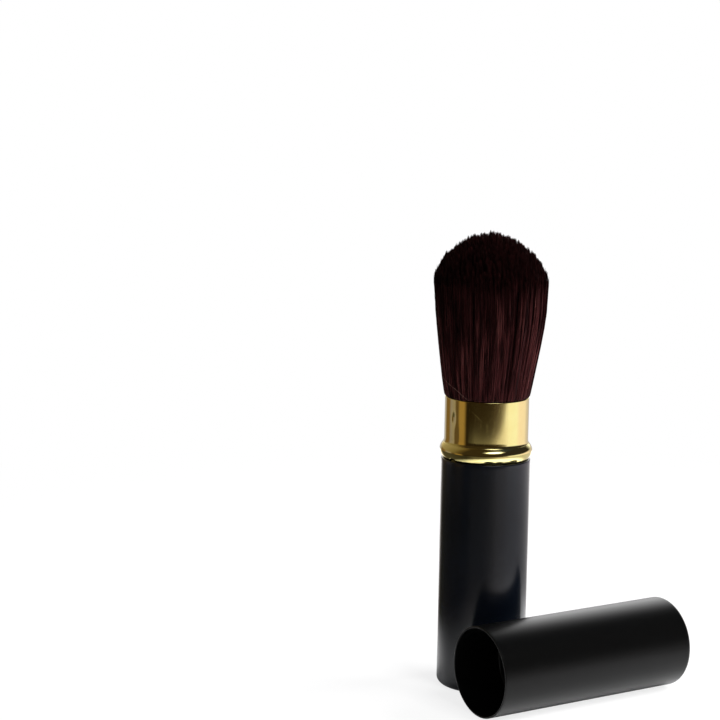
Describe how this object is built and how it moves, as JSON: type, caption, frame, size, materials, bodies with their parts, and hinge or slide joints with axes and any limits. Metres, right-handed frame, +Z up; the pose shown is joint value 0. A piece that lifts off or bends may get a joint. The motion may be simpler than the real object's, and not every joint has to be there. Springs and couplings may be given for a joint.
{
  "type": "retractable makeup brush",
  "caption": "Twist-up powder brush with a black metal base, gold collar and neck, domed dark brown hair, standing open beside its domed slip-on cap.",
  "frame": {"origin": "centre of the base's flat foot, on the table", "axes": "+Z up along the brush, towards the hair; +X along the lying cap, from its mouth to its closed end"},
  "size_m": [0.0592, 0.0473, 0.1134],
  "materials": {
    "black_anodised_aluminium": "satin black anodised",
    "gold_anodised_aluminium": "polished gold anodised",
    "plain_aluminium": "mill finish",
    "zinc_plated_steel": "dull zinc plated",
    "black_abs": "moulded, matte",
    "white_acetal": "moulded, natural",
    "grey_silicone": "moulded, matte",
    "amber_epoxy": "cast, glossy",
    "dark_brown_hair": "natural hair, faint sheen"
  },
  "bodies": {
    "base": {"base_shell": "black_anodised_aluminium", "base_core": "black_abs", "base_weight": "zinc_plated_steel", "cam_tube": "black_abs"},
    "neck": {"guide_tube": "white_acetal", "friction_ring": "grey_silicone", "thrust_washer": "white_acetal", "neck_core": "white_acetal", "neck_sleeve": "gold_anodised_aluminium", "collar_ring": "gold_anodised_aluminium"},
    "brush_head": {"brush_carrier": "white_acetal", "brush_ferrule": "plain_aluminium", "glue_plug": "amber_epoxy", "bristles": "dark_brown_hair"},
    "cap": {"cap_shell": "black_anodised_aluminium", "cap_liner": "black_abs"}
  },
  "joints": [
    {"name": "neck_twist", "type": "hinge", "parent": "base", "child": "neck", "pos_m": [0, 0, 0.0576], "axis": [0, 0, 1], "range_deg": [0, 540]},
    {"name": "brush_lift", "type": "slide", "parent": "neck", "child": "brush_head", "axis": [0, 0, 1], "range_m": [-0.0415, 0], "deforming": ["bristles"]},
    {"name": "cap_slide", "type": "slide", "parent": "base", "child": "cap", "axis": [1, 0, 0], "range_m": [0, 0.06]}
  ],
  "couplings": [
    {"joint": "brush_lift", "follows": "neck_twist", "m_per_rad": -0.0044032}
  ]
}
